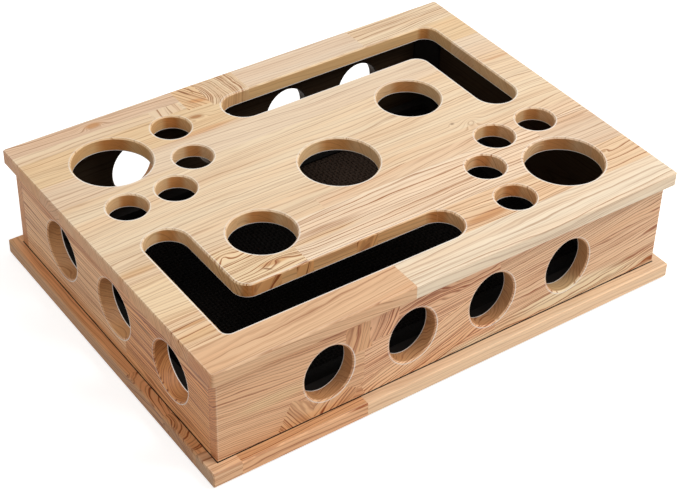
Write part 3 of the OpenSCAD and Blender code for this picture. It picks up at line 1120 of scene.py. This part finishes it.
    def _front_wall(self) -> GluedPine:
        """Describes the front wall's staves, some of them turned so that their rings run steeply."""
        staves = (
            Stave(-210, 210, -40, 40, "f3c49a", (50, -26), turn=6, ring=1.9, lines=2.2, seed=21),
            Stave(40, 210, -40, 40, "f3cba3", (-50, -36), turn=7, ring=2.1, lines=1.6, seed=22),
            Stave(-210, -76, -40, 40, "f1c296", (58, -26), turn=-3, ring=1.8, lines=1.3, seed=23),
            Stave(-76, 26, -40, -6, "facda1", (40, -30), turn=20, lean=20, ring=1.8, lines=2.2, seed=24),
            Stave(-92, -70, 6, 30, "eab585", (14, -24), turn=76, ring=2.0, lines=1.7, seed=25),
            Stave(-72, -48, 10, 40, "efbb90", (18, -20), turn=52, sink=10, ring=2.4, lines=2.1, seed=26),
            Stave(-142, -116, -42, -16, "edbd8e", (20, -26), turn=-58, lean=-26, ring=2, lines=1.8, seed=27),
            Stave(-116, -84, -42, -18, "ebba8c", (20, -26), turn=40, lean=-28, ring=1.9, lines=2.0, seed=28),
        )
        streaks = (
            Streak(-150, -2, 50, 9, "f6d4a4", 0.8),
            Streak(120, -28, 120, 16, "fcebc7", 0.9),
            Streak(20, -36, 60, 10, "fceac7", 0.8),
            Streak(60, 34, 160, 8, "fcd1b5", 0.7),
            Streak(-120, -34, 60, 8, "f1b97f", 0.6),
        )
        return GluedPine(
            "front_wall",
            Face.FRONT,
            staves,
            (),
            streaks,
            late_wood="a46c3e",
            waves=1.6,
            sawn="d2c0a8",
            highlight_way=(-0.5, 0.0, 0.86),
        )

    def _left_wall(self) -> GluedPine:
        """Describes the left wall's staves, which run the short way of the box."""
        staves = (
            Stave(-210, 210, -40, 40, "fccb9a", (60, -40), turn=-1, ring=2.0, lines=1.5, seed=31),
            Stave(20, 210, -40, 40, "f4b67c", (-60, -40), turn=-2, ring=1.9, lines=2.5, seed=32),
            Stave(-210, 210, 20, 40, "edb684", (50, -40), turn=1, ring=2.0, lines=2, seed=33),
        )
        streaks = (
            Streak(116, 28, 30, 8, "cf9c80", 0.7),
            Streak(48, 13, 26, 2, "a8744a", 0.9),
            Streak(0, -35, 200, 8, "ecb27a", 0.7),
        )
        return GluedPine(
            "left_wall",
            Face.LEFT,
            staves,
            (),
            streaks,
            late_wood="a06836",
            waves=1.3,
            sawn="d2c0a8",
            highlight_way=(0.0, 0.5, 0.86),
        )

    def _back_wall(self) -> GluedPine:
        """Describes the back wall's staves."""
        staves = (
            Stave(-210, 210, -40, 40, "ebc197", (66, -50), turn=2.0, lines=0.9, seed=41),
            Stave(-210, -52, -40, 2, "e7ba8e", (20, -40), sink=3.0, turn=-3.0, lines=1.0, seed=42),
            Stave(12, 210, 2, 40, "edc69e", (-60, -50), turn=1.5, ring=3.2, seed=43),
        )
        knots = (Knot(150, -14, 20, 10, 12, turn=12, heart=0.4),)
        return GluedPine("back_wall", Face.BACK, staves, knots)

    def _right_wall(self) -> GluedPine:
        """Describes the right wall's staves."""
        staves = (
            Stave(-210, 210, -40, 40, "ecc39a", (60, -50), turn=-1.5, lines=0.9, seed=51),
            Stave(-210, 24, -40, -4, "e8ba8f", (10, -40), sink=3.5, lines=1.0, seed=52),
            Stave(-60, 210, 16, 40, "e9bd93", (-50, -40), turn=2.0, seed=53),
        )
        knots = (Knot(64, 2, 26, 12, 15, turn=-6, heart=0.45), Knot(-96, 22, 12, 6, 6, heart=0.5))
        return GluedPine("right_wall", Face.RIGHT, staves, knots)


@dataclass
class BaseTray:
    """The part that stays down: the base board, the cleats, their screws and the feet."""

    def dress(self) -> None:
        """Gives the base board, cleats, screws and feet their finishes."""
        board = self._base_board()
        dress(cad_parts[board.node], board.material())
        grains = {"front": (1, 0, 0), "back": (1, 0, 0), "left": (0, 1, 0), "right": (0, 1, 0)}
        for side, grain in grains.items():
            batten = StainedPine(f"stained_pine_{side}_cleat", grain)
            dress(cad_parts[f"{side}_cleat"], batten.material())
        dress(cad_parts["cleat_screws"], ZincPlate().material())
        rubber = MouldedRubber().material()
        for corner in CORNERS:
            dress(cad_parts[f"foot_{corner}"], rubber)

    def _base_board(self) -> GluedPine:
        """Describes the base board's staves."""
        staves = (
            Stave(-210, 210, -160, 160, "e1c3a1", (90, -60), turn=0.6, seed=61),
            # Painted shade: the next two staves each come twice; the lighter tint stays on the front edge
            # face, and the darker copy over the top is painted shade on the ledge before the wall.
            Stave(-78, 210, -160, -118, "f8d4ac", (-60, -60), turn=-1, ring=3.0, lines=0.55, seed=62),
            Stave(-78, 210, -150.2, -118, "e3c6a4", (-60, -60), turn=-1, ring=3.0, lines=0.55, seed=62),
            Stave(-180, -78, -160, -104, "f0ba8a", (40, -50), turn=1.5, ring=2.4, lines=1.4, seed=63),
            Stave(-180, -78, -150.2, -104, "d8a677", (40, -50), turn=1.5, ring=2.4, lines=1.4, seed=63),
            Stave(-210, -180, -160, -128, "ecc197", (40, -50), turn=-2, lines=1.1, seed=64),
            Stave(-210, -180, -128, 160, "fbc28a", (60, -50), turn=91, ring=3.0, lines=0.9, seed=65),
            Stave(-210, -180, -124, -84, "eeb47c", (4, -7), turn=112, sink=-22, ring=2.3, lines=2.0, seed=66),
            Stave(-210, -180, -84, -34, "f4ba84", (-6, -9), turn=96, sink=16, ring=2.6, lines=1.6, seed=67),
        )
        return GluedPine("base_board", Face.TOP, staves, end_grain="d2cfc9")


@dataclass
class ScratchMat:
    """The woven mat: a latex backing, plain-woven flat yarns and a stitched tape round the edge.

    Sizes are in mm. The weave gets thinner where the tape presses it down.
    """

    pitch: float = 3.0
    yarn_width: float = 2.9
    yarn_thickness: float = 1.6
    backing: float = 0.6
    weave_inset: float = 3.0
    rings: int = 2
    sides: int = 5
    tape_width: float = 14.0
    tape_thickness: float = 0.8
    pressed: float = 0.76
    stitch: float = 3.6
    stitch_pitch: float = 5.5
    stitch_in: float = 3.0
    thread: float = 0.6

    def build(self) -> None:
        """Builds the mat on the base, in the place of its CAD solid."""
        self.low, self.high = (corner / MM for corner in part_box("scratch_mat"))
        self.lift = self.yarn_thickness / 2
        self.tape_top = self.high.z - self.thread / 2
        self.level = self.low.z + self.backing + 2 * self.lift
        crown_low, crown_high = self.level + 0.2, self.level + 2 * self.lift
        backing = self._backing()
        pieces = [backing]
        for run in Yarn:
            name = f"mat_{run.name.lower()}"
            finish = DyedSisal(f"dyed_sisal_{run.name.lower()}", run, self.pitch, crown_low, crown_high)
            pieces.append(self._yarns(name, run, finish.material()))
        pieces.append(self._tape())
        pieces.append(self._stitches())
        for piece in pieces:
            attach(piece, "base")
        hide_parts("scratch_mat")

    def _backing(self) -> bpy.types.Object:
        """Makes the thin sheet under the weave."""
        form = bmesh.new()
        bmesh.ops.create_cube(form, size=1.0)
        size = self.high - self.low - Vector((1.0, 1.0, 0.0))
        bmesh.ops.scale(form, vec=(size.x, size.y, self.backing), verts=form.verts)
        bmesh.ops.translate(form, vec=(0, 0, self.low.z + self.backing / 2), verts=form.verts)
        upright = [e for e in form.edges if abs(e.verts[0].co.z - e.verts[1].co.z) > 0.1]
        bmesh.ops.bevel(form, geom=upright, offset=1.5, segments=3, profile=0.5, affect="EDGES", material=-1)
        return as_piece("mat_backing", form, LatexBacking().material())

    def _yarns(self, name: str, run: Yarn, material: bpy.types.Material) -> bpy.types.Object:
        """Weaves one set of yarns, over and under the other.

        Args:
            name: the piece's name.
            run: the set.
            material: its finish.

        Returns:
            The piece.
        """
        spans = [self.high[axis] - self.low[axis] - 2 * self.weave_inset for axis in (0, 1)]
        counts = [int(span // self.pitch) for span in spans]
        along, across = run.value, 1 - run.value
        length = counts[along] * self.pitch
        over = 1 if run is Yarn.WARP else -1
        draw = random.Random(run.name)
        straight = self._straight_yarn(along, length, counts[along] * self.rings)
        form = bmesh.new()
        for row in range(counts[across]):
            side = (row + 0.5 - counts[across] / 2) * self.pitch
            start = len(form.verts)
            form.from_mesh(straight)
            form.verts.ensure_lookup_table()
            verts = form.verts[start:]
            width = self.yarn_width / 2 * draw.uniform(0.93, 1.03)
            shift, phase = draw.uniform(-0.15, 0.15), draw.uniform(0.0, math.tau)
            for vert in verts:
                step = (vert.co[along] + length / 2) / self.pitch
                wave = math.cos(math.pi * (step - 0.5)) * over * (-1) ** row
                wander = shift + 0.12 * math.sin(step * 0.7 + phase)
                vert.co[across] = side + wander + vert.co[across] * width
                rise = self.lift * (wave + vert.co.z) + self.level - self.low.z - self.backing
                vert.co.z = self.low.z + self.backing + rise * self._pressed_share(vert.co)
        bpy.data.meshes.remove(straight)
        return as_piece(name, form, material)

    def _straight_yarn(self, along: int, length: float, steps: int) -> bpy.types.Mesh:
        """Makes a straight round yarn of radius 1, with its middle at the origin.

        Args:
            along: the axis that it runs along.
            length: its length.
            steps: how many rings it is cut into.

        Returns:
            Its mesh.
        """
        form = bmesh.new()
        bmesh.ops.create_cone(
            form, cap_ends=True, segments=self.sides, radius1=1.0, radius2=1.0, depth=length
        )
        runs = [e for e in form.edges if e.calc_length() > 0.9 * length]
        bmesh.ops.subdivide_edges(form, edges=runs, cuts=steps - 1)
        turn = Matrix.Rotation(math.radians(90), 3, "X" if along else "Y")
        bmesh.ops.rotate(form, verts=form.verts, matrix=turn)
        mesh = bpy.data.meshes.new("straight_yarn")
        form.to_mesh(mesh)
        form.free()
        return mesh

    def _pressed_share(self, where: Vector) -> float:
        """Gives how thick the weave stays at a point: all of it, or less under the tape."""
        free = min(max((self._edge_in(where) - self.tape_width) / (self.pitch / 2), 0.0), 1.0)
        return self.pressed + (1.0 - self.pressed) * free

    def _edge_in(self, where: Vector) -> float:
        """Gives how far a point is from the mat's edge."""
        return min(self.high.x - abs(where.x), self.high.y - abs(where.y))

    def _pull(self, form: bmesh.types.BMesh, faces: list, height: float) -> None:
        """Extrudes faces straight up, or down, and keeps them where they were as well.

        Args:
            form: the bmesh.
            faces: what is extruded.
            height: how far.
        """
        made = bmesh.ops.extrude_face_region(form, geom=faces, use_keep_orig=True)["geom"]
        verts = [g for g in made if isinstance(g, bmesh.types.BMVert)]
        bmesh.ops.translate(form, vec=(0, 0, height), verts=verts)

    def _tape(self) -> bpy.types.Object:
        """Makes the tape: a flap over the weave and a wall round the mat's edge."""
        form = bmesh.new()
        bmesh.ops.create_grid(form, x_segments=1, y_segments=1, size=0.5)
        size, thick = self.high - self.low, self.tape_thickness
        under = self.tape_top - thick
        bmesh.ops.scale(form, vec=(size.x, size.y, 1.0), verts=form.verts)
        bmesh.ops.translate(form, vec=(0, 0, under), verts=form.verts)
        middle = form.faces[:]
        wall, flap = (
            bmesh.ops.inset_region(
                form, faces=middle, thickness=depth, use_boundary=True, use_even_offset=True
            )["faces"]
            for depth in (thick, self.tape_width - thick)
        )
        bmesh.ops.delete(form, geom=middle, context="FACES")
        self._pull(form, wall + flap, thick)
        self._pull(form, wall, self.low.z - under)
        bmesh.ops.delete(form, geom=wall, context="FACES")
        bmesh.ops.recalc_face_normals(form, faces=form.faces)
        for inset, offset, segments in ((0.0, 1.4, 4), (self.tape_width, 0.3, 2)):
            rim = [e for e in form.edges if self._on_rim(e, inset)]
            bmesh.ops.bevel(
                form, geom=rim, offset=offset, segments=segments, profile=0.5, affect="EDGES", material=-1
            )
        return as_piece("mat_binding", form, TwillTape().material())

    def _on_rim(self, edge: bmesh.types.BMEdge, inset: float) -> bool:
        """Tells whether an edge runs round the top of the tape, that far from the mat's edge."""
        return all(
            abs(self._edge_in(v.co) - inset) < 0.01 and v.co.z > self.tape_top - 0.01 for v in edge.verts
        )

    def _stitches(self) -> bpy.types.Object:
        """Makes the running stitches that hold the tape down."""
        form = bmesh.new()
        inset = self.tape_width - self.stitch_in
        for along in (0, 1):
            half = self.high[along] - inset
            count = int(2 * half // self.stitch_pitch)
            for side in (-1, 1):
                for step in range(count):
                    made = bmesh.ops.create_uvsphere(form, u_segments=6, v_segments=4, radius=0.5)["verts"]
                    size, place = [self.thread] * 3, [0.0, 0.0, self.tape_top]
                    size[along] = self.stitch
                    place[along] = (step + 0.5 - count / 2) * self.stitch_pitch
                    place[1 - along] = side * (self.high[1 - along] - inset)
                    bmesh.ops.scale(form, vec=size, verts=made)
                    bmesh.ops.translate(form, vec=place, verts=made)
        thread = TwillTape("black_waxed_thread", 0.4, "0b0908", "1c1815")
        return as_piece("mat_stitches", form, thread.material())


def main() -> None:
    """Builds the studio and dresses the box, part by part."""
    logging.basicConfig(level=logging.INFO, format="%(name)s: %(message)s")
    Studio().build()
    Cover().dress()
    BaseTray().dress()
    ScratchMat().build()


if __name__ == "__main__":
    main()
